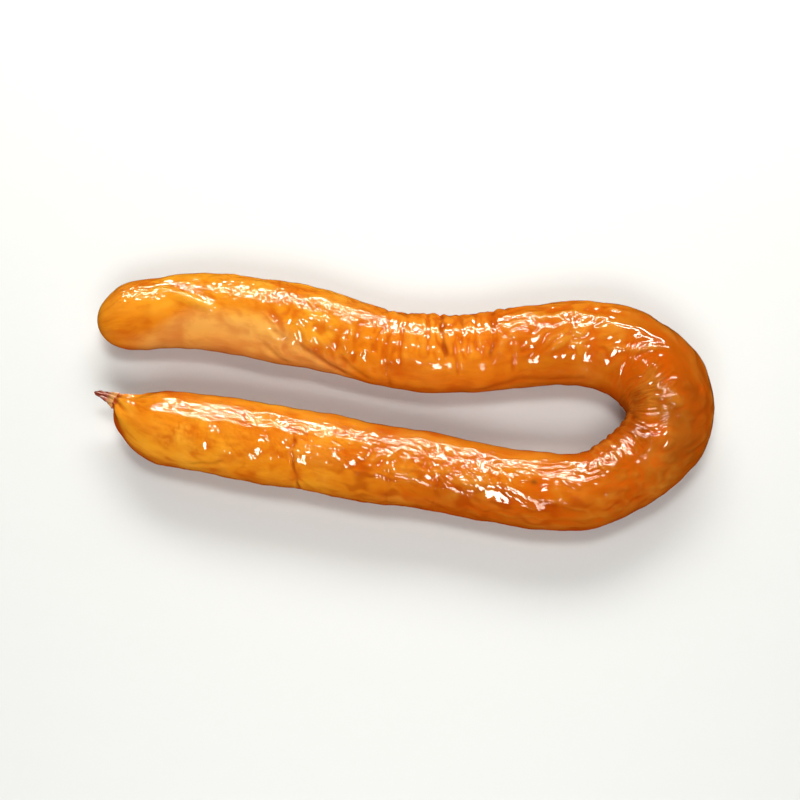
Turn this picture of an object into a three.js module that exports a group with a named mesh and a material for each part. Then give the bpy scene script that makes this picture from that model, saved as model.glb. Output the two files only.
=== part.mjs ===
// One long smoked sausage in its natural casing, folded back on itself once and lying flat.
// It is a single piece of food, so it is a single solid: the upper leg, the fold, the lower leg and the
// dried twist of casing that closes one end.
// Sizes are in millimetres. X runs along both legs towards the fold, Y across them and Z up from the
// surface that it lies on. The origin is on that surface, under the middle of the outline.
// A place on the skin is (s, angle). s runs along the spine from the round end, and the angle in degrees
// runs round the section: 0 on the outside of the fold, 90 on top, 180 inside the fold, 270 underneath.
import * as THREE from "three";
import { mergeVertices } from "three/addons/utils/BufferGeometryUtils.js";

const { clamp, degToRad, lerp, smoothstep } = THREE.MathUtils;

// The spine, as x, y and the skin's radius, from the round end to the tip of the twist.
const SPINE = [
  [-173, 38.5, 19.6],
  [-160, 42.6, 19.8],
  [-146, 46.9, 20.2],
  [-122, 49.6, 21.4],
  [-92, 47.4, 22.8],
  [-62, 43.4, 23.3],
  [-34, 37.9, 22.2],
  [-10, 32.4, 21.2],
  [14, 29.9, 22.3],
  [42, 31.6, 22],
  [70, 36.8, 23],
  [98, 39.3, 23.9],
  [122, 34.4, 25.2],
  [139, 23.2, 25.6],
  [147, 8, 24.6],
  [146.4, -9, 23.4],
  [137, -24, 22.2],
  [121, -37, 21],
  [100, -46.6, 21],
  [74, -47.6, 21.1],
  [44, -43.4, 20.9],
  [14, -38.9, 21.2],
  [-16, -36, 22],
  [-46, -31.4, 21.9],
  [-76, -27.6, 22.2],
  [-104, -24, 21.7],
  [-130, -20, 20.8],
  [-146, -14.6, 20.2],
  [-157, -7.2, 20],
  [-169.5, -3.5, 20],
];
const MIDDLE = { x: -0.59, y: 1.23 }; // the middle of the outline above

const FLATTEN = 0.94; // height over width of the section, which sags under its own weight
const SINK = 1.2; // how far the soft underside is pressed flat
const CAP = 26; // length of the round end's dome
const SHOULDER = 32; // length over which the tied end narrows to its knot
const SHOULDER_POWER = 0.9; // under 1 makes the shoulder fuller than a sine
const KNOT_RADIUS = 3.7;
const TWIST = 14; // length of the dried casing past the knot
const TWIST_FLARE = 0.3; // how much the casing opens again past the knot
const TWIST_FLARE_END = 0.62; // share of the twist over which it does so
const TWIST_TAPER = 2.2; // how much thinner the twist is at its tip
const TWIST_BLUNT = 6; // the higher, the blunter the tip
const TWIST_RISE = 5; // how far the twist's tip turns up
const SECTION_RADIUS = 22; // mean radius, which turns an angle on the skin into a length

// Creases round the section. The s of each moves by lean over the quarter turn past the top.
const RINGS = [
  { s: 167, lean: 5.4, from: 10, to: 190, width: 2.1, depth: 0.9 },
  { s: 181, lean: 3, from: -25, to: 60, width: 2, depth: 0.6 },
  { s: 198, lean: 2, from: -30, to: 118, width: 2.1, depth: 1.6 },
  { s: 209, lean: 1, from: -10, to: 95, width: 1.8, depth: 0.9 },
  { s: 225, lean: -6, from: -20, to: 125, width: 2, depth: 1.0 },
  { s: 354, lean: 10, from: 40, to: 200, width: 2.2, depth: 0.7 },
  { s: 492, lean: -3, from: -15, to: 75, width: 2, depth: 0.7 },
  { s: 521, lean: 1, from: -15, to: 70, width: 2, depth: 0.7 },
  { s: 574, lean: 6.5, from: -20, to: 92, width: 2, depth: 0.9 },
];
const RING_WANDER = 0.5; // how far a crease strays from its line

// Folds that run along or across the skin at a slant, each a run of places joined by straight lines. One
// whose depth is negative stands up as a ridge.
const FOLDS = [
  { places: [[44, 82], [53, 94], [64, 104], [72, 110]], width: 3.4, depth: -0.7 },
  { places: [[97, 136], [106, 158], [117, 185]], width: 3.2, depth: 0.8 },
  { places: [[100, 118], [117, 138]], width: 3.2, depth: 0.7 },
  { places: [[118, 132], [131, 151], [153, 180]], width: 3.4, depth: 1.1 },
  { places: [[142, 135], [165, 176]], width: 3.2, depth: 0.7 },
  { places: [[212, 184], [236, 163], [262, 170], [284, 163]], width: 2.8, depth: 0.7 },
  { places: [[346, 178], [368, 141], [374, 100]], width: 2.8, depth: 0.7 },
  { places: [[486, 53], [472, 78]], width: 3, depth: -0.6 },
  { places: [[480, 48], [462, 64], [441, 58], [414, 38]], width: 3, depth: 0.7 },
  { places: [[432, 93], [416, 69]], width: 2.8, depth: 0.7 },
  { places: [[544, 52], [529, 87]], width: 3, depth: 0.7 },
  { places: [[631, 15], [616, 26], [607, 42]], width: 2.8, depth: 0.7 },
];
const LIP = 0.35; // share of a crease's depth by which the skin beside it stands proud
const LIP_AWAY = 2.2; // how far the lip stands from the crease, in widths of the crease
const FOLD_FADE = 6; // length over which a fold runs out at its two ends
const RING_FADE = 14; // angle over which a ring runs out
const CREASED = { from: -57, to: 237, fade: 18 }; // the angles with creases, clear of the flat underside

// The gathers that fan out from the inside of the fold, where the casing is bunched up.
const GATHERS = { from: 362, to: 406, fade: 8, pitch: 7.4, depth: 0.5, start: 126, end: 250, soften: 20 };
// The pleats that run into the knot. They wind round by turn, in radians for each millimetre, and are
// never deeper than a share of the radius.
const PLEATS = { count: 7, reach: 22, clear: 4, depth: 0.9, share: 0.22, turn: 0.15 };
// Slow swellings of the filling, as the length and height of three crossed waves.
const SWELLINGS = [
  { along: 61, turns: 1, phase: 0.4, height: 0.35 },
  { along: 37, turns: 2, phase: 2.1, height: 0.3 },
  { along: 23, turns: 3, phase: 4.4, height: 0.22 },
];

const AROUND = 32; // faces round the section
const ALONG = 164; // faces from pole to pole
// How much closer the rows of faces stand at some places, and over what length.
const CLOSER = {
  ring: { by: 2.2, over: 5 },
  gathers: { by: 0.8 },
  roundEnd: { by: 1.6, over: 9 },
  tiedEnd: { by: 1.6, over: 22 },
};
const MEASURES = 4000; // points at which the spine is measured

const spine = new THREE.CatmullRomCurve3(
  SPINE.map(([x, y]) => new THREE.Vector3(x, y, 0)), false, "catmullrom");
spine.arcLengthDivisions = MEASURES;
const radii = new THREE.CatmullRomCurve3(
  SPINE.map(([, , radius]) => new THREE.Vector3(radius, 0, 0)), false, "catmullrom");
const LENGTH = spine.getLength();
const KNOT = LENGTH - TWIST;

// 1 between two values and 0 outside them, with soft edges.
function between(value, low, high, soft) {
  return smoothstep(value, low - soft, low + soft) * (1 - smoothstep(value, high - soft, high + soft));
}

// A bell curve, 1 in the middle.
function bell(value) {
  return Math.exp(-value * value);
}

// The angle as a value from -90, underneath, round to 270.
function unwrap(angle) {
  return THREE.MathUtils.euclideanModulo(angle + 90, 360) - 90;
}

// The section of a crease: a groove between two low lips.
function groove(distance, width, depth) {
  const widths = Math.abs(distance) / width;
  return depth * (LIP * bell(widths - LIP_AWAY) - bell(widths));
}

function ringRelief(s, angle) {
  let height = 0;
  for (const ring of RINGS) {
    const stray = RING_WANDER * (Math.sin(0.1 * angle + ring.s) + 0.5 * Math.sin(0.23 * angle + 2 * ring.s));
    const away = s - ring.s - ring.lean * (angle - 90) / 90 - stray;
    const depth = ring.depth * (0.75 + 0.25 * Math.sin(0.16 * angle + 3 * ring.s));
    height += groove(away, ring.width, depth) * between(angle, ring.from, ring.to, RING_FADE);
  }
  return height;
}

// How far a place on the skin is from a line between two others, and how far along that line it lies.
function toLine(s, angle, [s0, angle0], [s1, angle1]) {
  const across = degToRad(SECTION_RADIUS);
  const line = new THREE.Vector2(s1 - s0, (angle1 - angle0) * across);
  const place = new THREE.Vector2(s - s0, (angle - angle0) * across);
  const share = clamp(place.dot(line) / line.lengthSq(), 0, 1);
  const length = line.length();
  return { away: place.addScaledVector(line, -share).length(), along: share * length, length };
}

function foldRelief(s, angle) {
  let height = 0;
  for (const { places, width, depth } of FOLDS) {
    const lines = places.slice(1).map((place, i) => toLine(s, angle, places[i], place));
    const total = lines.reduce((sum, line) => sum + line.length, 0);
    let nearest = lines[0];
    let before = 0;
    let walked = 0;
    for (const line of lines) {
      if (line.away < nearest.away) {
        nearest = line;
        before = walked;
      }
      walked += line.length;
    }
    const along = before + nearest.along;
    const fade = smoothstep(along, -1, FOLD_FADE) * smoothstep(total - along, -1, FOLD_FADE);
    height += groove(nearest.away, width, depth) * fade;
  }
  return height;
}

function gatherRelief(s, angle) {
  const wave = Math.cos(2 * Math.PI * s / GATHERS.pitch);
  const around = between(angle, GATHERS.start, GATHERS.end, GATHERS.soften);
  return GATHERS.depth * wave * around * between(s, GATHERS.from, GATHERS.to, GATHERS.fade);
}

function pleatRelief(s, angle) {
  const near = smoothstep(s, KNOT - PLEATS.reach, KNOT - PLEATS.clear);
  const faint = 1 - 0.5 * smoothstep(s, KNOT, LENGTH);
  const depth = Math.min(PLEATS.depth, PLEATS.share * skinRadius(s));
  return depth * near * faint * Math.cos(PLEATS.count * degToRad(angle) + PLEATS.turn * s);
}

function swellRelief(s, angle) {
  let rise = 0;
  for (const { along, turns, phase, height } of SWELLINGS) {
    const around = Math.cos(turns * degToRad(angle) + phase * s / along);
    rise += height * around * Math.sin(2 * Math.PI * s / along + phase);
  }
  return rise * smoothstep(s, 0, CAP) * (1 - smoothstep(s, KNOT - SHOULDER, KNOT));
}

function bodyRadius(s) {
  return radii.getPoint(spine.getUtoTmapping(s / LENGTH)).x;
}

// The radius of the skin without its relief: a dome at one end, a shoulder, knot and twist at the other.
function skinRadius(s) {
  if (s > KNOT) {
    const share = clamp((s - KNOT) / TWIST, 0, 1);
    const flare = TWIST_FLARE * Math.sin(Math.PI * clamp(share / TWIST_FLARE_END, 0, 1));
    return (KNOT_RADIUS + flare - TWIST_TAPER * share) * Math.sqrt(1 - share ** TWIST_BLUNT);
  }
  const dome = Math.sqrt(1 - (1 - clamp(s / CAP, 0, 1)) ** 2);
  const shoulder = Math.sin(Math.PI / 2 * clamp((KNOT - s) / SHOULDER, 0, 1)) ** SHOULDER_POWER;
  return lerp(KNOT_RADIUS, bodyRadius(s), shoulder) * dome;
}

function relief(s, degrees) {
  const angle = unwrap(degrees);
  const shown = between(angle, CREASED.from, CREASED.to, CREASED.fade);
  const creases = ringRelief(s, angle) + foldRelief(s, angle) + gatherRelief(s, angle);
  return shown * (creases + pleatRelief(s, angle)) + swellRelief(s, angle);
}

function skinPoint(s, degrees) {
  const u = s / LENGTH;
  const centre = spine.getPointAt(u);
  const forward = spine.getTangentAt(u);
  const side = new THREE.Vector3(-forward.y, forward.x, 0);
  const radius = skinRadius(s);
  const reach = radius === 0 ? 0 : radius + relief(s, degrees);
  const angle = degToRad(degrees);
  const height = FLATTEN * bodyRadius(s) - SINK + TWIST_RISE * smoothstep(s, KNOT - SHOULDER / 2, LENGTH);
  centre.z = height + FLATTEN * reach * Math.sin(angle);
  centre.addScaledVector(side, reach * Math.cos(angle));
  centre.z = Math.max(centre.z, 0);
  return centre;
}

// The s of each row of faces: closer together at the rings, the gathers and the two ends.
function rows() {
  const { ring, gathers, roundEnd, tiedEnd } = CLOSER;
  const sums = [0];
  for (let i = 0; i < MEASURES; i += 1) {
    const s = LENGTH * (i + 0.5) / MEASURES;
    let density = 1 + roundEnd.by * bell(s / roundEnd.over) + tiedEnd.by * bell((LENGTH - s) / tiedEnd.over);
    for (const crease of RINGS) density += ring.by * bell((s - crease.s) / ring.over);
    density += gathers.by * between(s, GATHERS.from, GATHERS.to, GATHERS.fade);
    sums.push(sums[i] + density);
  }
  const found = [0];
  let i = 1;
  for (let row = 1; row < ALONG; row += 1) {
    const wanted = sums[MEASURES] * row / ALONG;
    while (sums[i] < wanted) i += 1;
    const share = (wanted - sums[i - 1]) / (sums[i] - sums[i - 1]);
    found.push(LENGTH * (i - 1 + share) / MEASURES);
  }
  found.push(LENGTH);
  return found;
}

// A sphere's own lattice of faces, with its poles at the two ends of the spine, drawn out into the skin.
function sausageGeometry() {
  const skin = new THREE.SphereGeometry(1, AROUND, ALONG);
  const place = skin.getAttribute("position");
  const stations = rows();
  for (let i = 0; i < place.count; i += 1) {
    const row = Math.floor(i / (AROUND + 1));
    const degrees = -360 * (i % (AROUND + 1) % AROUND) / AROUND;
    const point = skinPoint(stations[row], degrees);
    place.setXYZ(i, point.x - MIDDLE.x, point.y - MIDDLE.y, point.z);
  }
  skin.deleteAttribute("normal");
  skin.deleteAttribute("uv");
  const closed = mergeVertices(skin);
  closed.computeVertexNormals();
  return closed;
}

const casing = new THREE.MeshStandardMaterial({ color: 0xdc7a1c, roughness: 0.3, metalness: 0 });
const sausage = new THREE.Mesh(sausageGeometry(), casing);
sausage.name = "sausage";

const part = new THREE.Group();
part.add(sausage);
export default part;
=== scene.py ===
import math
from itertools import product

import bpy
import numpy as np
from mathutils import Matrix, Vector


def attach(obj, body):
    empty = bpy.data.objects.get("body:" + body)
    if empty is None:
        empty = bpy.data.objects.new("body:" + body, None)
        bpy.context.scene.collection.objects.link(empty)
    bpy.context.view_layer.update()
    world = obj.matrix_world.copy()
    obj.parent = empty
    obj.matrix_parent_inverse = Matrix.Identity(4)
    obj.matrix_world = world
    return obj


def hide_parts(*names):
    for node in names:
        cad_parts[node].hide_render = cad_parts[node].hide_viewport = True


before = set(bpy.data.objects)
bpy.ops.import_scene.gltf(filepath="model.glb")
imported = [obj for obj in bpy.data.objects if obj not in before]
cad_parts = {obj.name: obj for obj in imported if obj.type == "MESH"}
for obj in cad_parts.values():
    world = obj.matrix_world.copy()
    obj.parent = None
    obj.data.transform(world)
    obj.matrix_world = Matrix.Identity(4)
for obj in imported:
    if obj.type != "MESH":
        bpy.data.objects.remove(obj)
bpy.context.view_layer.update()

# One long smoked sausage in its natural casing, folded back on itself once and lying flat.
# The skin is worked out in millimetres and scaled to metres where its mesh is made.
# A place on the skin is (s, angle). s runs along the spine from the round end, and the angle in degrees
# runs round the section: 0 on the outside of the fold, 90 on top, 180 inside the fold, 270 underneath.
MM = 0.001

# The spine, as x, y and the skin's radius, from the round end to the tip of the twist
SPINE = [
    (-173, 38.5, 19.6),
    (-160, 42.6, 19.8),
    (-146, 46.9, 20.2),
    (-122, 49.6, 21.4),
    (-92, 47.4, 22.8),
    (-62, 43.4, 23.3),
    (-34, 37.9, 22.2),
    (-10, 32.4, 21.2),
    (14, 29.9, 22.3),
    (42, 31.6, 22),
    (70, 36.8, 23),
    (98, 39.3, 23.9),
    (122, 34.4, 25.2),
    (139, 23.2, 25.6),
    (147, 8, 24.6),
    (146.4, -9, 23.4),
    (137, -24, 22.2),
    (121, -37, 21),
    (100, -46.6, 21),
    (74, -47.6, 21.1),
    (44, -43.4, 20.9),
    (14, -38.9, 21.2),
    (-16, -36, 22),
    (-46, -31.4, 21.9),
    (-76, -27.6, 22.2),
    (-104, -24, 21.7),
    (-130, -20, 20.8),
    (-146, -14.6, 20.2),
    (-157, -7.2, 20),
    (-169.5, -3.5, 20),
]
MIDDLE = (-0.59, 1.23)

FLATTEN = 0.94
SINK = 1.2
CAP = 26
SHOULDER = 32
SHOULDER_POWER = 0.9
KNOT_RADIUS = 3.7
TWIST = 14
TWIST_FLARE = 0.3
TWIST_FLARE_END = 0.62
TWIST_TAPER = 2.2
TWIST_BLUNT = 6
TWIST_RISE = 5
SECTION_RADIUS = 22

# Creases round the section: s, lean over a quarter turn, first and last angle, width, depth
RINGS = [
    (167, 5.4, 10, 190, 1.2, 0.5),
    (181, 3, -25, 60, 1.3, 0.45),
    (198, 2, -30, 118, 1.4, 1.3),
    (209, 1, -10, 95, 1.3, 0.7),
    (225, -6, -20, 125, 1.4, 0.8),
    (354, 10, 40, 200, 1.1, 0.35),
    (492, -3, -15, 75, 1.2, 0.4),
    (521, 1, -15, 70, 1.2, 0.4),
    (574, 6.5, -20, 92, 1.0, 0.95),
]
RING_WANDER = 0.5

# Folds that run along or across the skin at a slant: their places, width and depth
FOLDS = [
    ([(44, 82), (53, 94), (64, 104), (72, 110)], 3, -0.7),
    ([(97, 136), (106, 158), (117, 185)], 2.2, 0.5),
    ([(100, 118), (117, 138)], 2.2, 0.5),
    ([(118, 132), (131, 151), (153, 180)], 2.2, 0.7),
    ([(142, 135), (165, 176)], 2.2, 0.5),
    ([(212, 184), (236, 163), (262, 170), (284, 163)], 1.8, 0.4),
    ([(346, 178), (368, 141), (374, 100)], 1.8, 0.4),
    ([(486, 53), (472, 78)], 2, -0.45),
    ([(480, 48), (462, 64), (441, 58), (414, 38)], 2, 0.4),
    ([(432, 93), (416, 69)], 1.8, 0.45),
    ([(544, 52), (529, 87)], 2, 0.45),
    ([(631, 15), (616, 26), (607, 42)], 1.6, 0.5),
    ([(596, 45), (588, 56)], 1.6, 0.35),
]
LIP = 0.35
LIP_AWAY = 2.2
FOLD_FADE = 6
RING_FADE = 14
CREASED = (-57, 237, 18)

GATHERS = {"from": 362, "to": 406, "fade": 8, "pitch": 7.4, "depth": 0.4,
           "start": 126, "end": 250, "soften": 20}
PLEATS = {"count": 7, "reach": 22, "clear": 4, "depth": 0.9, "share": 0.22, "turn": 0.15}
# Slow swellings of the filling: length, turns round the section, phase, height
SWELLINGS = [(61, 1, 0.4, 0.35), (37, 2, 2.1, 0.3), (23, 3, 4.4, 0.22)]

# Small creases and, where the depth is negative, small ridges, which catch the light
SMALL_FOLDS = [
    ([(174, 66), (177, 140)], 1.1, 0.45),
    ([(188, 30), (190, 118)], 1.1, 0.5),
    ([(218, 20), (215, 112)], 1.1, 0.45),
    ([(204, 90), (206, 150)], 1.2, 0.4),
    ([(236, 96), (233, 150)], 1.2, 0.35),
    ([(389, 50), (386, 100)], 1.4, 0.3),
    ([(340, 40), (344, 120)], 1.4, 0.25),
    ([(43, 79), (53, 92), (61, 99), (70, 106)], 2.1, -0.8),
    ([(33, 66), (40, 74), (48, 79)], 2.2, -0.4),
    ([(621, 84), (618, 90)], 2.4, -0.5),
    ([(597, 78), (594, 84)], 2.0, -0.45),
    ([(583, 78), (582, 84)], 1.8, -0.4),
    ([(102, 117), (104, 129), (109, 141)], 2.0, -0.6),
    ([(119, 107), (124, 124)], 2.4, -0.5),
    ([(143, 110), (148, 136)], 2.4, -0.55),
    ([(137, 96), (140, 112)], 2.2, -0.45),
    ([(74, 104), (79, 114), (86, 128)], 2.3, -0.5),
    ([(90, 117), (98, 132)], 2.2, -0.5),
    ([(113, 134), (118, 143)], 1.4, -0.4),
    ([(51, 139), (55, 126)], 1.7, -0.35),
    ([(57, 132), (61, 120)], 1.7, -0.35),
    ([(232, 62), (245, 56), (252, 72), (265, 66), (278, 70), (290, 74)], 1.8, -0.45),
    ([(291, 114), (309, 101), (321, 70)], 1.5, -0.6),
    ([(473, 50), (464, 46), (455, 48)], 5.5, -0.55),
    ([(421, 66), (416, 60)], 3.6, -0.5),
    ([(534, 66), (528, 84), (515, 92)], 1.6, -0.4),
    ([(560, 98), (546, 100), (530, 97)], 1.4, -0.35),
]

# Flat places, where the casing is stretched over the filling: s from and to, the angle that they face,
# how far they lie below the round
FLATS = [
    (24, 62, 66, 0.5),
    (294, 330, 60, 0.7),
    (408, 512, 103, 0.75),
    (578, 666, 108, 0.55),
    (449, 472, 50, 0.5),
]
FLAT_FADE = 9

# Fine wrinkles of the casing, patch by patch. from and to are in s, start and end in degrees. lay is
# the slant of the wrinkles from the length of the sausage, long and pitch their usual length and spacing.
# A round patch has cushions with sharp creases between them, the others have crests between hollows.
WRINKLES = [
    {"patch": "grain on the round end", "from": 8, "to": 74, "start": 40, "end": 90, "lay": 10,
     "long": 5, "pitch": 2.8, "depth": 0.3, "round": True},
    {"patch": "net on the upper leg", "from": 68, "to": 168, "start": 22, "end": 92, "lay": 14,
     "long": 5.0, "pitch": 3.4, "depth": 0.36, "round": True},
    {"patch": "slanting pleats on its flank", "from": 92, "to": 168, "start": 92, "end": 156, "lay": 62,
     "long": 13, "pitch": 6.0, "depth": 0.55, "round": False},
    {"patch": "puckers between the rings", "from": 158, "to": 240, "start": -20, "end": 120, "lay": 84,
     "long": 15, "pitch": 6.0, "depth": 0.62, "round": True},
    {"patch": "waves before the fold", "from": 230, "to": 298, "start": 28, "end": 128, "lay": -22,
     "long": 11, "pitch": 6.6, "depth": 0.62, "round": True},
    {"patch": "dashes on the fold", "from": 298, "to": 352, "start": 84, "end": 162, "lay": 84,
     "long": 9, "pitch": 3.6, "depth": 0.5, "round": False},
    {"patch": "waves on the fold", "from": 336, "to": 412, "start": 10, "end": 120, "lay": 50,
     "long": 9, "pitch": 6.0, "depth": 0.52, "round": True},
    {"patch": "cushions outside the fold", "from": 262, "to": 350, "start": -10, "end": 62, "lay": 30,
     "long": 16, "pitch": 9.0, "depth": 0.4, "round": True},
    {"patch": "gathers inside the fold", "from": 366, "to": 410, "start": 100, "end": 200, "lay": 90,
     "long": 22, "pitch": 3.2, "depth": 0.5, "round": False},
    {"patch": "long wrinkles after the fold", "from": 402, "to": 462, "start": 82, "end": 126, "lay": 3,
     "long": 15, "pitch": 3.3, "depth": 0.4, "round": False},
    {"patch": "loops after them", "from": 452, "to": 512, "start": 58, "end": 112, "lay": 22,
     "long": 9, "pitch": 4.6, "depth": 0.5, "round": True},
    {"patch": "long wrinkles above the loops", "from": 468, "to": 516, "start": 104, "end": 128, "lay": 3,
     "long": 16, "pitch": 3.6, "depth": 0.3, "round": False},
    {"patch": "waves below them", "from": 408, "to": 520, "start": 10, "end": 76, "lay": 14,
     "long": 18, "pitch": 7.5, "depth": 0.5, "round": False},
    {"patch": "net on the lower leg", "from": 500, "to": 574, "start": 58, "end": 120, "lay": 12,
     "long": 8, "pitch": 4.0, "depth": 0.38, "round": True},
    {"patch": "ripples near the tied end", "from": 570, "to": 676, "start": 88, "end": 130, "lay": 8,
     "long": 13, "pitch": 3.6, "depth": 0.3, "round": True},
    {"patch": "cushions on the lower leg", "from": 500, "to": 650, "start": 8, "end": 84, "lay": 30,
     "long": 14, "pitch": 9.0, "depth": 0.3, "round": True},
    {"patch": "faint wrinkles outside", "from": 30, "to": 660, "start": -60, "end": 10, "lay": 10,
     "long": 12, "pitch": 6.0, "depth": 0.3, "round": False},
    {"patch": "grain on the lower leg", "from": 560, "to": 652, "start": 46, "end": 90, "lay": 70,
     "long": 5, "pitch": 2.6, "depth": 0.17, "round": True},
]
PATCH_FADE = 9
PATCH_SOFTEN = 14
# Places where the casing is stretched smooth: s, angle, half of the length and of the width in mm
SMOOTHED = 0.85
SMOOTH_PLACES = [
    (463, 47, 13, 7),
    (417, 63, 6, 5),
    (494, 38, 20, 7),
    (540, 40, 22, 8),
    (302, 64, 15, 4.5),
    (318, 65, 11, 4),
]
# Places with little oil on them, measured the same way
DRIED_OFF = 0.7
DRY_PLACES = [
    (522, 46, 34, 9),
    (438, 46, 13, 9),
    (222, 132, 30, 6),
    (434, 132, 34, 5),
    (286, 50, 11, 5),
    (490, 40, 12, 8),
]

# How the wrinkles wander, in mm, and the finer ones that ride on them
WANDER = {"size": 9, "along": 2.5, "across": 1.6, "seeds": (11, 12)}
FINER = {"times": (2.1, 1.8, 1), "share": 0.4, "seed": 60}
WRINKLE_SEED = 20
PATCH_STEP = 3.3
# How sharp the creases and the crests are, and the level that they are measured from
CUSHION = {"power": 0.8, "level": 0.6}
CREST = {"power": 1.4, "level": 0.35}
# Noise that lies over the skin: size in mm, height in mm, seed
LUMPS = [(17, 0.30, 3), (8, 0.18, 4)]
PORES = [(3.2, 0.07, 5)]
SMOOTH_PORES = 0.3
CRUMPLE = [(3.1, 0.9, 31), (1.5, 0.45, 32)]

# The grid of the skin: points round it, mm from row to row, rows on the round end, rows and mm of the
# blunt tip, and measured points on the spine
AROUND = 216
SPACING = 0.66
DOME_ROWS = 60
TIP_ROWS = 10
BLUNT_TIP = 2
MEASURES = 6000
# The skin laid out flat: the empty edge at the ends in mm, and at the sides as a share of the square
EDGE_MM = 1
EDGE_SHARE = 0.005


# Small helpers

def smooth(value, low, high):
    share = np.clip((value - low) / (high - low), 0, 1)
    return share * share * (3 - 2 * share)


def between(value, low, high, soft):
    return smooth(value, low - soft, low + soft) * (1 - smooth(value, high - soft, high + soft))


def bell(value):
    return np.exp(-value * value)


def groove(distance, width, depth):
    widths = np.abs(distance) / width
    return depth * (LIP * bell(widths - LIP_AWAY) - bell(widths))


def noise(points, seed):
    """Gradient noise at an array of places, from about -1 to 1."""
    draw = np.random.default_rng(seed)
    shuffle = draw.permutation(256)
    slopes = draw.normal(size=(256, 3))
    slopes /= np.linalg.norm(slopes, axis=1, keepdims=True)
    cell = np.floor(points).astype(int)
    part = points - cell
    ease = part * part * part * (part * (part * 6 - 15) + 10)
    total = np.zeros(points.shape[:-1])
    for corner in product((0, 1), repeat=3):
        at = (cell + corner) % 256
        pick = shuffle[(shuffle[(shuffle[at[..., 0]] + at[..., 1]) % 256] + at[..., 2]) % 256]
        weight = np.prod(np.where(corner, ease, 1 - ease), axis=-1)
        total += weight * np.sum(slopes[pick] * (part - corner), axis=-1)
    return total * 1.5


def rough(place, parts):
    return sum(height * noise(place / size, seed) for size, height, seed in parts)


def ridged(points, seed):
    """Sharp crests between rounded hollows, from 0 to 1."""
    return 1 - np.clip(np.abs(noise(points, seed)) * 2.4, 0, 1)


# The spine and the skin's main shape, as in the solid

def along_curve(points, share):
    """Uniform Catmull-Rom through points, at each share of the way from the first to the last."""
    points = np.asarray(points, float)
    last = len(points) - 1
    place = np.clip(share, 0, 1) * last
    index = np.minimum(place.astype(int), last - 1)
    part = (place - index)[:, None]
    ends = np.vstack([2 * points[0] - points[1], points, 2 * points[-1] - points[-2]])
    before, start, end, after = (ends[index + i] for i in range(4))
    leave = (end - before) / 2
    arrive = (after - start) / 2
    cubic = 2 * start - 2 * end + leave + arrive
    square = -3 * start + 3 * end - 2 * leave - arrive
    return cubic * part ** 3 + square * part ** 2 + leave * part + start


spine = along_curve(SPINE, np.linspace(0, 1, MEASURES))
spine_s = np.concatenate([[0], np.cumsum(np.hypot(*np.diff(spine[:, :2], axis=0).T))])
LENGTH = spine_s[-1]
KNOT = LENGTH - TWIST


def on_spine(s):
    """x, y, the radius and the direction of travel at each s."""
    x, y, radius = (np.interp(s, spine_s, spine[:, i]) for i in range(3))
    step = 0.4
    forward = [np.interp(s + step, spine_s, spine[:, i]) - np.interp(s - step, spine_s, spine[:, i])
               for i in range(2)]
    length = np.hypot(*forward)
    return x, y, radius, forward[0] / length, forward[1] / length


def skin_radius(s, body):
    share = np.clip((s - KNOT) / TWIST, 0, 1)
    flare = TWIST_FLARE * np.sin(np.pi * np.clip(share / TWIST_FLARE_END, 0, 1))
    twist = (KNOT_RADIUS + flare - TWIST_TAPER * share) * np.sqrt(1 - share ** TWIST_BLUNT)
    dome = np.sqrt(1 - (1 - np.clip(s / CAP, 0, 1)) ** 2)
    shoulder = np.sin(np.pi / 2 * np.clip((KNOT - s) / SHOULDER, 0, 1)) ** SHOULDER_POWER
    return np.where(s > KNOT, twist, (KNOT_RADIUS + (body - KNOT_RADIUS) * shoulder) * dome)


def ring_relief(s, angle):
    height = np.zeros_like(s)
    for ring_s, lean, first, last, width, depth in RINGS:
        wander = RING_WANDER * (np.sin(0.1 * angle + ring_s) + 0.5 * np.sin(0.23 * angle + 2 * ring_s))
        away = s - ring_s - lean * (angle - 90) / 90 - wander
        uneven = 0.75 + 0.25 * np.sin(0.16 * angle + 3 * ring_s)
        height += groove(away, width, depth * uneven) * between(angle, first, last, RING_FADE)
    return height


def fold_relief(s, angle, folds):
    height = np.zeros_like(s)
    across = math.radians(SECTION_RADIUS)
    place = np.stack([s, angle * across], -1)
    for places, width, depth in folds:
        points = np.array(places, float) * (1, across)
        nearest = np.full(s.shape, np.inf)
        walked = np.zeros_like(s)
        total = 0
        for start, end in zip(points[:-1], points[1:]):
            line = end - start
            length = np.linalg.norm(line)
            share = np.clip((place - start) @ line / length ** 2, 0, 1)
            away = np.linalg.norm(place - start - share[..., None] * line, axis=-1)
            closer = away < nearest
            nearest = np.where(closer, away, nearest)
            walked = np.where(closer, total + share * length, walked)
            total += length
        fade = smooth(walked, -1, FOLD_FADE) * smooth(total - walked, -1, FOLD_FADE)
        height += groove(nearest, width, depth) * fade
    return height


def gather_relief(s, angle):
    g = GATHERS
    around = between(angle, g["start"], g["end"], g["soften"])
    lengthwise = between(s, g["from"], g["to"], g["fade"])
    return g["depth"] * np.cos(2 * np.pi * s / g["pitch"]) * around * lengthwise


def pleat_relief(s, angle, radius):
    p = PLEATS
    near = smooth(s, KNOT - p["reach"], KNOT - p["clear"]) * (1 - 0.5 * smooth(s, KNOT, LENGTH))
    depth = np.minimum(p["depth"], p["share"] * radius)
    return depth * near * np.cos(p["count"] * np.radians(angle) + p["turn"] * s)


def swell_relief(s, angle):
    rise = np.zeros_like(s)
    for length, turns, phase, height in SWELLINGS:
        around = np.cos(turns * np.radians(angle) + phase * s / length)
        rise += height * around * np.sin(2 * np.pi * s / length + phase)
    return rise * smooth(s, 0, CAP) * (1 - smooth(s, KNOT - SHOULDER, KNOT))


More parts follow.
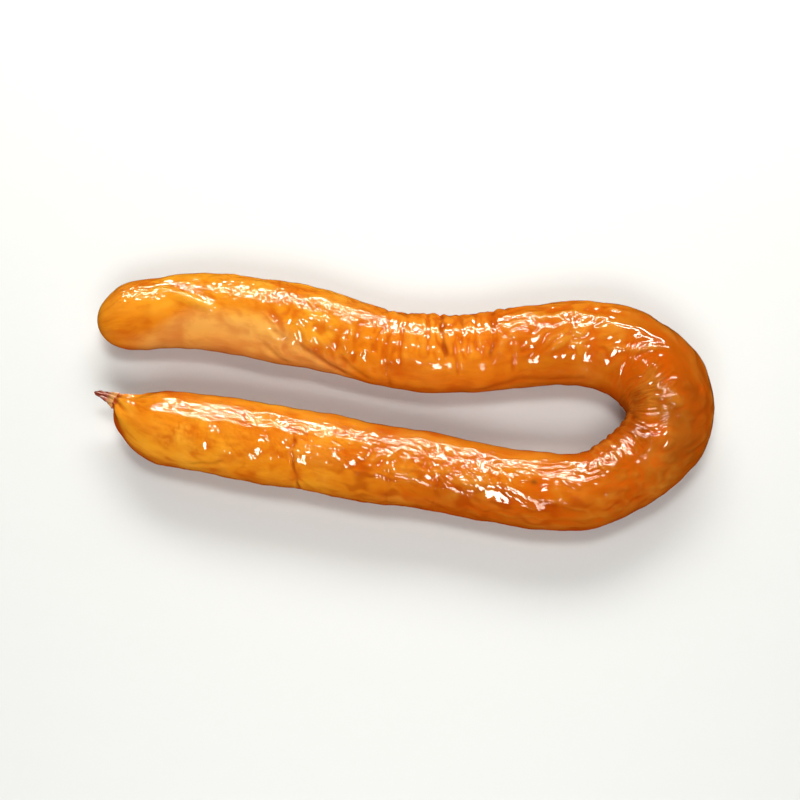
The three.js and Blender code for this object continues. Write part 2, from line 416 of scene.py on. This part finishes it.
def flattened(s, angle, radius, reach):
    """The reach with the flat places cut back to a plane."""
    for start, end, facing, below in FLATS:
        turn = np.cos(np.radians(np.clip(angle - facing, -60, 60)))
        limit = (radius - below) / turn
        share = between(s, start, end, FLAT_FADE)
        reach = reach + share * (np.minimum(reach, limit) - reach)
    return reach


def main_skin(s, angle):
    """The skin's places, before the fine wrinkles, on a grid of s and angle from -90 to 270."""
    x, y, body, forward_x, forward_y = on_spine(s)
    radius = skin_radius(s, body)
    shown = between(angle, *CREASED)
    pleats = pleat_relief(s, angle, radius)
    creases = ring_relief(s, angle) + fold_relief(s, angle, FOLDS) + gather_relief(s, angle)
    relief = shown * (creases + pleats) + swell_relief(s, angle)
    reach = np.where(radius > 0, flattened(s, angle, radius, radius + relief), 0)
    turn = np.radians(angle)
    height = FLATTEN * body - SINK + TWIST_RISE * smooth(s, KNOT - SHOULDER / 2, LENGTH)
    place = np.stack([
        x - forward_y * reach * np.cos(turn) - MIDDLE[0],
        y + forward_x * reach * np.cos(turn) - MIDDLE[1],
        np.maximum(height + FLATTEN * reach * np.sin(turn), 0),
    ], -1)
    return place, (creases + 0.5 * pleats) * shown


# The fine wrinkles

def patch_mask(patch, s, angle):
    lengthwise = between(s, patch["from"], patch["to"], PATCH_FADE)
    return lengthwise * between(angle, patch["start"], patch["end"], PATCH_SOFTEN)


def outside_of(spots, s, angle, strength):
    """1 away from the spots, and less by the strength in the middle of each."""
    left = np.ones_like(s)
    for at_s, at_angle, long, wide in spots:
        across = math.radians(SECTION_RADIUS) * (angle - at_angle)
        left *= 1 - strength * bell(((s - at_s) / long) ** 2 + (across / wide) ** 2)
    return left


def wrinkle_relief(s, angle, place):
    """Height of the fine wrinkles, and how crinkled the skin is from 0 to 1."""
    height = np.zeros_like(s)
    crinkled = np.zeros_like(s)
    across = math.radians(SECTION_RADIUS) * angle
    wander = [noise(place / WANDER["size"], seed) for seed in WANDER["seeds"]]
    wrinkled = outside_of(SMOOTH_PLACES, s, angle, SMOOTHED)
    for number, patch in enumerate(WRINKLES):
        mask = patch_mask(patch, s, angle) * wrinkled
        if not mask.any():
            continue
        lay = math.radians(patch["lay"])
        run = s * math.cos(lay) + across * math.sin(lay)
        side = across * math.cos(lay) - s * math.sin(lay)
        run = (run + WANDER["along"] * wander[0]) / patch["long"]
        side = (side + WANDER["across"] * wander[1]) / patch["pitch"]
        points = np.stack([run, side, np.full_like(s, PATCH_STEP * number)], -1)
        crest = ridged(points, WRINKLE_SEED + number)
        if patch["round"]:
            shape = CUSHION["level"] - crest ** CUSHION["power"]
        else:
            shape = crest ** CREST["power"] - CREST["level"]
        fine = noise(points * FINER["times"], FINER["seed"] + number)
        height += patch["depth"] * mask * (shape + FINER["share"] * fine)
        crinkled = np.maximum(crinkled, mask)
    height += fold_relief(s, angle, SMALL_FOLDS)
    crumpled = smooth(s, KNOT - 5, KNOT + 2)
    height += crumpled * rough(place, CRUMPLE)
    pores = rough(place, PORES) * (SMOOTH_PORES + crinkled)
    return height + rough(place, LUMPS) + pores, crinkled


def grid_normals(place):
    lengthwise = np.gradient(place, axis=0)
    around = np.roll(place, -1, axis=1) - np.roll(place, 1, axis=1)
    normal = np.cross(around, lengthwise)
    length = np.linalg.norm(normal, axis=-1, keepdims=True)
    return normal / np.maximum(length, 1e-9)


def stations():
    """s of each row: even along the skin of the dome, along the body and round the blunt tip."""
    dome = CAP * (1 - np.cos(np.linspace(0, np.pi / 2, DOME_ROWS)))
    tip = LENGTH - BLUNT_TIP * (1 - np.sin(np.linspace(0, np.pi / 2, TIP_ROWS)))
    body = np.linspace(CAP, tip[0], int((tip[0] - CAP) / SPACING))
    return np.concatenate([dome, body[1:], tip[1:]])


def flat_layout(rows):
    """The skin laid out flat in two strips of half the length, for every corner of the faces."""
    half = LENGTH / 2
    turns = np.arange(AROUND + 1) / AROUND

    def corners(*places):
        laid = []
        for s, turn, strip in places:
            s, turn, strip = np.broadcast_arrays(s, turn, strip)
            lengthwise = (s - strip * half + EDGE_MM) / (half + 2 * EDGE_MM)
            sideways = 0.5 * strip + EDGE_SHARE + (0.5 - 2 * EDGE_SHARE) * turn
            laid.append(np.stack([lengthwise, sideways], -1))
        return np.stack(laid, 1).reshape(-1, 2)

    inner = rows[1:-1]
    back = np.repeat(inner[:-1], AROUND)
    ahead = np.repeat(inner[1:], AROUND)
    here = np.tile(turns[:-1], len(inner) - 1)
    there = np.tile(turns[1:], len(inner) - 1)
    strip = (back + ahead > LENGTH).astype(float)
    quads = corners((back, here, strip), (back, there, strip),
                    (ahead, there, strip), (ahead, here, strip))
    here, there = turns[:-1], turns[1:]
    middle = (here + there) / 2
    start = corners((rows[0], middle, 0), (inner[0], there, 0), (inner[0], here, 0))
    end = corners((rows[-1], middle, 1), (inner[-1], here, 1), (inner[-1], there, 1))
    return np.vstack([quads, start, end])


def casing_mesh():
    rows = stations()
    angles = -90 + 360 * np.arange(AROUND) / AROUND
    s, angle = np.meshgrid(rows, angles, indexing="ij")
    place, creases = main_skin(s, angle)
    normal = grid_normals(place)
    normal[0] = (-1, 0, 0)
    fine, crinkled = wrinkle_relief(s, angle, place)
    quiet = smooth(s, 0, 6) * (1 - smooth(s, LENGTH - 3, LENGTH)) * smooth(place[..., 2], 0, 1.5)
    place = place + normal * (fine * quiet)[..., None]
    place[..., 2] = np.maximum(place[..., 2], 0)

    inner = place[1:-1].reshape(-1, 3)
    points = np.vstack([place[0].mean(0), inner, place[-1].mean(0)]) * MM
    count = len(rows) - 2
    first = 1 + np.arange(count)[:, None] * AROUND
    here = np.arange(AROUND)
    there = (here + 1) % AROUND
    quads = np.stack([first[:-1] + here, first[:-1] + there, first[1:] + there, first[1:] + here], -1)
    top = len(points) - 1
    start_fan = np.stack([np.zeros(AROUND, int), 1 + there, 1 + here], -1)
    end_fan = np.stack([np.full(AROUND, top), first[-1] + here, first[-1] + there], -1)
    faces = quads.reshape(-1, 4).tolist() + start_fan.tolist() + end_fan.tolist()

    mesh = bpy.data.meshes.new("casing")
    mesh.from_pydata(points, [], faces)
    mesh.shade_smooth()
    flat = mesh.uv_layers.new(name="OFBake")
    flat.uv.foreach_set("vector", flat_layout(rows).astype(np.float32).ravel())

    def per_point(values):
        return np.concatenate([[values[0].mean()], values[1:-1].ravel(), [values[-1].mean()]])

    masks = skin_masks(s, angle, place, creases, crinkled)
    # Painted shade: the hollows of the fine wrinkles are coloured deeper and redder, as the shade in them
    # would make them
    masks["shaded_hollow"] = smooth(-fine * quiet, -0.05, 0.35)
    # Painted light: the crests of the fine wrinkles are coloured paler, as the light on them would make
    # them
    masks["crest"] = smooth(fine * quiet, 0.0, 0.8)
    for name, values in masks.items():
        layer = mesh.attributes.new(name, "FLOAT", "POINT")
        layer.data.foreach_set("value", per_point(values).astype(np.float32))
    wrap = np.stack([per_point(s), per_point(SECTION_RADIUS * np.cos(np.radians(angle))),
                     per_point(SECTION_RADIUS * np.sin(np.radians(angle)))], -1) * MM
    layer = mesh.attributes.new("place on skin", "FLOAT_VECTOR", "POINT")
    layer.data.foreach_set("vector", wrap.astype(np.float32).ravel())
    return mesh


# How far round the underside the photograph's view reaches, in degrees; the painted shade along the seen
# edge by the tied end is measured from it
EDGE_SEEN = 21
# Single spots: s, angle, half of the length and of the width in mm
SPOTS = {"green fleck": (629, 97, 5, 2.4), "dark speck": (443, 85, 1.8, 1.4)}
# Clouds in the brown of the smoke: size in mm, seed
SMOKE_CLOUDS = (13, 41)
# Streaks on the lower flank, in mm
STREAKS = {"long": 11, "wide": 4.6, "sway": 0.8, "sway size": 7, "seeds": (42, 43)}


def skin_masks(s, angle, place, creases, crinkled):
    """Masks over the skin, each from 0 to 1."""
    def spot(at_s, at_angle, long, wide):
        across = math.radians(SECTION_RADIUS) * (angle - at_angle)
        return bell((s - at_s) / long) * bell(across / wide)

    fold = between(s, 300, 420, 30)
    below = between(s, 405, 500, 16) * between(angle, -30, 62, 20)
    pressed_from = 111 + 40 * smooth(s, 100, 135) + 40 * (1 - smooth(s, 22, 62))
    radius = skin_radius(s, on_spine(s)[2])
    # How far each place lies from the edge that the camera sees; the painted shade round the tied end
    # follows it
    from_edge = radius * (1 - np.cos(np.radians(np.clip(angle + EDGE_SEEN, 0, 180))))
    round_the_twist = smooth(s, KNOT - 46, KNOT - 12) * (1 - smooth(from_edge, 2.2, 5.6))
    clouds = 0.7 + 1.3 * noise(place / SMOKE_CLOUDS[0], SMOKE_CLOUDS[1])
    # The casing's own darker smoke, in clouds over the fold; the painted shade inside the fold is joined
    # to it below
    smoke_and_inner_shade = between(s, 334, 380, 12) * between(angle, 35, 200, 20) * clouds
    # Painted shade on the inner side of the fold, where the two legs face each other
    inner_shade = between(s, 322, 372, 14) * smooth(angle, 150, 176)
    across = math.radians(SECTION_RADIUS) * angle
    sway_seed, streak_seed = STREAKS["seeds"]
    sway = STREAKS["sway"] * noise(place / STREAKS["sway size"], sway_seed)
    lengthwise, sideways = s / STREAKS["long"], across / STREAKS["wide"] + sway
    streaks = noise(np.stack([lengthwise, sideways, np.zeros_like(s)], -1), streak_seed)
    low = between(s, 392, 545, 16) * between(angle, -30, 66, 12)
    dull = 0.65 * (1 - between(angle, 8, 172, 26))
    # How deep the creases are: it paints shade into them in brown and takes some of the oil off them
    crease = smooth(-creases, 0.06, 0.95)
    return {
        "crease": crease,
        "oil": (1 - dull) * (1 - 0.7 * crease) * outside_of(DRY_PLACES, s, angle, DRIED_OFF),
        "crinkled": crinkled,
        "flushed": between(s, 160, 238, 14),
        "deep": np.maximum(fold, 0.8 * below),
        # Smoke clouds on the fold together with the painted shade inside the fold
        "smoke_and_inner_shade": np.clip(np.maximum(smoke_and_inner_shade, inner_shade), 0, 1),
        "streaks": smooth(streaks, -0.08, 0.45) * low,
        "warm": between(s, 222, 545, 28),
        "pressed": between(s, 20, 146, 14) * between(angle, pressed_from, 200, 16),
        "round end": (1 - smooth(s, 6, 46)) * smooth(angle, 20, 120),
        # Painted shade: a dark red line along the seen edge of the fold and round the tied end
        "rim": np.maximum(0.55 * fold * between(angle, -27, -2, 12), round_the_twist),
        # Painted shade: darker towards the underside and the lower sides, where less light falls
        "under": 1 - between(angle, 8, 180, 24),
        # Painted shade: thin dark red bands just inside the edges that the camera sees
        "edge": between(angle, -26, -3, 10) + between(angle, 191, 212, 10),
        "collar": between(s, KNOT - 4, KNOT + 4.5, 2),
        "dried": smooth(s, KNOT - 2.5, KNOT + 1),
        **{name: spot(*where) for name, where in SPOTS.items()},
    }


# Materials

def socket(nodes, kind, **values):
    node = nodes.new(kind)
    for key, value in values.items():
        setattr(node, key, value)
    return node


def mix_colours(tree, mask, under, over, strength=1.0):
    """A colour node that lays over on under where the mask is 1."""
    node = tree.nodes.new("ShaderNodeMix")
    node.data_type = "RGBA"
    scale = tree.nodes.new("ShaderNodeMath")
    scale.operation = "MULTIPLY"
    scale.use_clamp = True
    tree.links.new(mask, scale.inputs[0])
    scale.inputs[1].default_value = strength
    tree.links.new(scale.outputs[0], node.inputs["Factor"])
    for value, place in ((under, "A"), (over, "B")):
        target = next(i for i in node.inputs if i.name == place and i.type == "RGBA")
        if isinstance(value, tuple):
            target.default_value = (*value, 1)
        else:
            tree.links.new(value, target)
    return next(o for o in node.outputs if o.type == "RGBA")


def skin_mask(tree, name):
    node = tree.nodes.new("ShaderNodeAttribute")
    node.attribute_name = name
    return node.outputs["Fac"]


def skin_place(tree):
    node = tree.nodes.new("ShaderNodeAttribute")
    node.attribute_name = "place on skin"
    return node.outputs["Vector"]


def make_group(name, inputs, outputs):
    group = bpy.data.node_groups.new(name, "ShaderNodeTree")
    for label, kind, value in inputs:
        made = group.interface.new_socket(name=label, in_out="INPUT", socket_type=kind)
        if value is not None:
            made.default_value = value
    for label, kind in outputs:
        group.interface.new_socket(name=label, in_out="OUTPUT", socket_type=kind)
    return group, group.nodes.new("NodeGroupInput"), group.nodes.new("NodeGroupOutput")


def mottle_group():
    """Patches drawn out along the sausage: Mask is 0 to 1."""
    group, given, result = make_group(
        "smoke mottle",
        [("Place", "NodeSocketVector", None), ("Patches per metre", "NodeSocketFloat", 30.0),
         ("Drawn out", "NodeSocketVector", (0.5, 1, 1)), ("Level", "NodeSocketFloat", 0.5),
         ("Softness", "NodeSocketFloat", 0.2)],
        [("Mask", "NodeSocketFloat")])
    nodes, links = group.nodes, group.links
    stretch = socket(nodes, "ShaderNodeVectorMath", operation="MULTIPLY")
    links.new(given.outputs["Place"], stretch.inputs[0])
    links.new(given.outputs["Drawn out"], stretch.inputs[1])
    cloud = socket(nodes, "ShaderNodeTexNoise")
    cloud.inputs["Detail"].default_value = 4
    cloud.inputs["Roughness"].default_value = 0.55
    cloud.inputs["Distortion"].default_value = 0.3
    links.new(stretch.outputs[0], cloud.inputs["Vector"])
    links.new(given.outputs["Patches per metre"], cloud.inputs["Scale"])
    low = socket(nodes, "ShaderNodeMath", operation="SUBTRACT")
    high = socket(nodes, "ShaderNodeMath", operation="ADD")
    for node in (low, high):
        links.new(given.outputs["Level"], node.inputs[0])
        links.new(given.outputs["Softness"], node.inputs[1])
    edge = socket(nodes, "ShaderNodeMapRange", interpolation_type="SMOOTHSTEP")
    links.new(cloud.outputs["Fac"], edge.inputs["Value"])
    links.new(low.outputs[0], edge.inputs["From Min"])
    links.new(high.outputs[0], edge.inputs["From Max"])
    links.new(edge.outputs["Result"], result.inputs["Mask"])
    return group


def crinkle_group():
    """Fine crinkles of the film: Height is in metres."""
    group, given, result = make_group(
        "film crinkle",
        [("Place", "NodeSocketVector", None), ("Crinkles per metre", "NodeSocketFloat", 400.0),
         ("Depth", "NodeSocketFloat", 0.0001), ("Amount", "NodeSocketFloat", 1.0)],
        [("Height", "NodeSocketFloat")])
    nodes, links = group.nodes, group.links
    crest = socket(nodes, "ShaderNodeTexNoise", noise_type="RIDGED_MULTIFRACTAL")
    crest.inputs["Detail"].default_value = 2
    crest.inputs["Roughness"].default_value = 0.5
    crest.inputs["Distortion"].default_value = 0.6
    links.new(given.outputs["Place"], crest.inputs["Vector"])
    links.new(given.outputs["Crinkles per metre"], crest.inputs["Scale"])
    scale = socket(nodes, "ShaderNodeMath", operation="MULTIPLY")
    links.new(crest.outputs["Fac"], scale.inputs[0])
    links.new(given.outputs["Depth"], scale.inputs[1])
    amount = socket(nodes, "ShaderNodeMath", operation="MULTIPLY")
    links.new(scale.outputs[0], amount.inputs[0])
    links.new(given.outputs["Amount"], amount.inputs[1])
    links.new(amount.outputs[0], result.inputs["Height"])
    return group


MOTTLE = mottle_group()
CRINKLE = crinkle_group()


def place_group(tree, group, links, values):
    node = tree.nodes.new("ShaderNodeGroup")
    node.node_tree = group
    for name, source in links.items():
        tree.links.new(source, node.inputs[name])
    for name, value in values.items():
        node.inputs[name].default_value = value
    return node.outputs[0]


AMBER = (0.90, 0.355, 0.018)
GOLD = (0.96, 0.450, 0.035)
ORANGE = (0.80, 0.215, 0.006)
WARM_ORANGE = (0.62, 0.140, 0.004)
# Deep orange, for the deeper tone of the fold and for the painted shade towards the underside
DEEP_ORANGE = (0.41, 0.075, 0.002)
# Red orange, for red patches and for the painted shade in the hollows of the wrinkles
RED_ORANGE = (0.60, 0.090, 0.002)
FLUSH = (0.80, 0.180, 0.006)
TAN = (0.95, 0.485, 0.115)
# Pale gold, for pale patches and for the painted light on the crests of the wrinkles
PALE_GOLD = (0.98, 0.500, 0.060)
# Brown for the painted shade in the creases
CREASE_SHADE_BROWN = (0.32, 0.037, 0.002)
# Brown for the smoke on the fold and for the painted shade inside the fold
SMOKE_AND_SHADE_BROWN = (0.27, 0.052, 0.003)
STREAK_RED = (0.40, 0.050, 0.001)
# Dark red for the painted shade along the seen edges
RIM_SHADE_RED = (0.42, 0.042, 0.002)
DRIED_RED = (0.33, 0.028, 0.004)
DRIED_BROWN = (0.15, 0.012, 0.003)
GREEN = (0.36, 0.26, 0.01)
SPECK = (0.20, 0.06, 0.006)

CASING_IOR = 1.47

# What is laid over the amber, from the bottom up: a mask on the skin, or a mottle as patches per metre,
# how they are drawn out, level and softness; then the colour and its strength
CASING_LAYERS = [
    ((34, (0.6, 1, 1), 0.52, 0.14), ORANGE, 0.9),
    ((62, (0.6, 1, 1), 0.60, 0.08), GOLD, 0.5),
    ("round end", ORANGE, 0.7),
    ("warm", WARM_ORANGE, 0.8),
    ("flushed", FLUSH, 0.6),
    ("deep", DEEP_ORANGE, 0.85),
    ("pressed", TAN, 0.6),
    ((75, (0.45, 1, 1), 0.54, 0.10), RED_ORANGE, 0.5),
    ((210, (0.35, 1, 1), 0.58, 0.10), RED_ORANGE, 0.35),
    ((48, (0.5, 1, 1), 0.61, 0.20), PALE_GOLD, 0.28),
    # Painted shade in the hollows of the fine wrinkles
    ("shaded_hollow", RED_ORANGE, 0.7),
    # Painted light on the crests of the fine wrinkles
    ("crest", PALE_GOLD, 0.2),
    # Smoke on the fold and painted shade inside it
    ("smoke_and_inner_shade", SMOKE_AND_SHADE_BROWN, 0.6),
    ("streaks", STREAK_RED, 0.68),
    # Painted shade towards the underside
    ("under", DEEP_ORANGE, 0.6),
    ("pressed", TAN, 0.25),
    # Painted shade along the seen edges
    ("edge", RIM_SHADE_RED, 0.6),
    # Painted shade along the seen edge of the fold and round the tied end
    ("rim", RIM_SHADE_RED, 0.85),
    # Painted shade in the creases
    ("crease", CREASE_SHADE_BROWN, 0.75),
    ("green fleck", GREEN, 0.7),
    ("dark speck", SPECK, 0.8),
    ("dried", DRIED_RED, 0.9),
]


def new_material(name):
    material = bpy.data.materials.new(name)
    material.use_nodes = True
    shader = material.node_tree.nodes["Principled BSDF"]
    return material, material.node_tree, shader


def smoked_casing():
    material, tree, shader = new_material("smoked casing")
    place = skin_place(tree)

    def mottle(patches, drawn_out, level, softness):
        return place_group(tree, MOTTLE, {"Place": place}, {
            "Patches per metre": patches, "Drawn out": drawn_out, "Level": level, "Softness": softness})

    colour = AMBER
    for source, over, strength in CASING_LAYERS:
        mask = skin_mask(tree, source) if isinstance(source, str) else mottle(*source)
        colour = mix_colours(tree, mask, colour, over, strength)
    tree.links.new(colour, shader.inputs["Base Color"])

    dull = tree.nodes.new("ShaderNodeMapRange")
    dull.inputs["To Min"].default_value = 0.24
    dull.inputs["To Max"].default_value = 0.42
    tree.links.new(mottle(140, (0.5, 1, 1), 0.5, 0.25), dull.inputs["Value"])
    tree.links.new(dull.outputs["Result"], shader.inputs["Roughness"])

    amount = tree.nodes.new("ShaderNodeMapRange")
    amount.inputs["To Min"].default_value = 0.4
    amount.inputs["To Max"].default_value = 1.0
    tree.links.new(skin_mask(tree, "crinkled"), amount.inputs["Value"])
    height = place_group(tree, CRINKLE, {"Place": place, "Amount": amount.outputs["Result"]},
                         {"Crinkles per metre": 420.0, "Depth": 0.00009})
    bump = tree.nodes.new("ShaderNodeBump")
    bump.inputs["Strength"].default_value = 1
    bump.inputs["Distance"].default_value = 1
    tree.links.new(height, bump.inputs["Height"])
    tree.links.new(bump.outputs["Normal"], shader.inputs["Normal"])
    tree.links.new(bump.outputs["Normal"], shader.inputs["Coat Normal"])

    tree.links.new(skin_mask(tree, "oil"), shader.inputs["Coat Weight"])

    shader.inputs["IOR"].default_value = CASING_IOR
    shader.inputs["Specular IOR Level"].default_value = 0.0
    shader.inputs["Coat Roughness"].default_value = 0.055
    shader.inputs["Coat IOR"].default_value = 1.36
    shader.inputs["Subsurface Weight"].default_value = 0.08
    shader.inputs["Subsurface Radius"].default_value = (1.0, 0.35, 0.1)
    shader.inputs["Subsurface Scale"].default_value = 0.004
    return material


def dried_casing():
    material, tree, shader = new_material("dried casing")
    place = skin_place(tree)
    mask = place_group(tree, MOTTLE, {"Place": place}, {
        "Patches per metre": 300.0, "Drawn out": (0.4, 1, 1), "Level": 0.5, "Softness": 0.15})
    colour = mix_colours(tree, mask, DRIED_RED, DRIED_BROWN)
    colour = mix_colours(tree, skin_mask(tree, "collar"), colour, TAN, 0.65)
    tree.links.new(colour, shader.inputs["Base Color"])
    height = place_group(tree, CRINKLE, {"Place": place}, {
        "Crinkles per metre": 700.0, "Depth": 0.0002, "Amount": 1.0})
    bump = tree.nodes.new("ShaderNodeBump")
    bump.inputs["Distance"].default_value = 1
    tree.links.new(height, bump.inputs["Height"])
    tree.links.new(bump.outputs["Normal"], shader.inputs["Normal"])
    shader.inputs["Roughness"].default_value = 0.35
    shader.inputs["IOR"].default_value = CASING_IOR
    shader.inputs["Specular IOR Level"].default_value = 0.15
    shader.inputs["Coat Weight"].default_value = 0.85
    shader.inputs["Coat Roughness"].default_value = 0.09
    return material


def pale_table():
    material, tree, shader = new_material("pale table")
    shader.inputs["Base Color"].default_value = (0.68, 0.69, 0.67, 1)
    shader.inputs["Roughness"].default_value = 0.6
    return material


# The piece

sausage = bpy.data.objects.new("smoked_sausage", casing_mesh())
bpy.context.scene.collection.objects.link(sausage)
sausage.data.materials.append(smoked_casing())
sausage.data.materials.append(dried_casing())
twist_starts = (KNOT + 1) * MM
along = np.empty(len(sausage.data.vertices) * 3, np.float32)
sausage.data.attributes["place on skin"].data.foreach_get("vector", along)
along = along.reshape(-1, 3)[:, 0]
for face in sausage.data.polygons:
    if along[face.vertices[0]] > twist_starts:
        face.material_index = 1
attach(sausage, "root")
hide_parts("sausage")


# The table, the light and the camera

FLOOR_SIZE = 4.0
SHINE_COLOUR = (1.0, 0.94, 0.78)
AIM = (0, 0, 0.02)

# Lights: name, lean back from straight above, distance, width and depth, power
SHINE = [
    ("long strip behind", 60, 1.6, (2.4, 0.13), 88),
    ("second strip behind", 41, 1.7, (1.7, 0.10), 42),
    ("lamp overhead", -2, 1.3, (0.2, 0.12), 6.5),
    ("tall lamp in front", -50, 1.4, (0.2, 0.42), 18),
]
FILL = [
    ("soft light behind", 50, 1.6, (1.4, 0.4), 18),
    ("soft light overhead", 5, 1.5, (0.4, 0.3), 7.5),
    ("soft light in front", -40, 1.4, (0.8, 0.4), 10.5),
]

EYE = Vector((0.017, -0.350, 0.9085))
LOOKS_AT = Vector((0, 0, 0.0195))
SENSOR_WIDTH = 36
LENS = 77.7


def pale_floor():
    mesh = bpy.data.meshes.new("table")
    half = FLOOR_SIZE / 2
    corners = [(-half, -half, 0), (half, -half, 0), (half, half, 0), (-half, half, 0)]
    mesh.from_pydata(corners, [], [(0, 1, 2, 3)])
    floor = bpy.data.objects.new("table", mesh)
    mesh.materials.append(pale_table())
    bpy.context.scene.collection.objects.link(floor)
    floor.visible_glossy = False


def area_light(name, place, aim, size, power, colour=(1, 1, 1)):
    data = bpy.data.lights.new(name, "AREA")
    data.shape = "RECTANGLE"
    data.size, data.size_y = size
    data.energy = power
    data.color = colour
    light = bpy.data.objects.new(name, data)
    light.location = place
    light.rotation_euler = (Vector(aim) - Vector(place)).to_track_quat("-Z", "Y").to_euler()
    bpy.context.scene.collection.objects.link(light)
    return light


def from_above(lean, distance):
    """A place that leans back from straight above by so many degrees."""
    turn = math.radians(lean)
    return (0, distance * math.sin(turn), distance * math.cos(turn))


def studio():
    for name, lean, distance, size, power in SHINE:
        light = area_light(name, from_above(lean, distance), AIM, size, power, SHINE_COLOUR)
        light.visible_diffuse = False
    for name, lean, distance, size, power in FILL:
        light = area_light(name, from_above(lean, distance), AIM, size, power)
        light.visible_glossy = False
    world = bpy.data.worlds.new("studio")
    bpy.context.scene.world = world
    world.use_nodes = True
    world.node_tree.nodes["Background"].inputs["Color"].default_value = (0.97, 0.97, 1.0, 1)
    world.node_tree.nodes["Background"].inputs["Strength"].default_value = 0.15
    world.cycles_visibility.glossy = False
    bpy.context.scene.view_settings.view_transform = "Standard"


def camera():
    data = bpy.data.cameras.new("camera")
    data.sensor_width = SENSOR_WIDTH
    data.lens = LENS
    data.clip_start = 0.01
    made = bpy.data.objects.new("camera", data)
    made.location = EYE
    made.rotation_euler = (LOOKS_AT - EYE).to_track_quat("-Z", "Y").to_euler()
    bpy.context.scene.collection.objects.link(made)
    bpy.context.scene.camera = made


pale_floor()
studio()
camera()
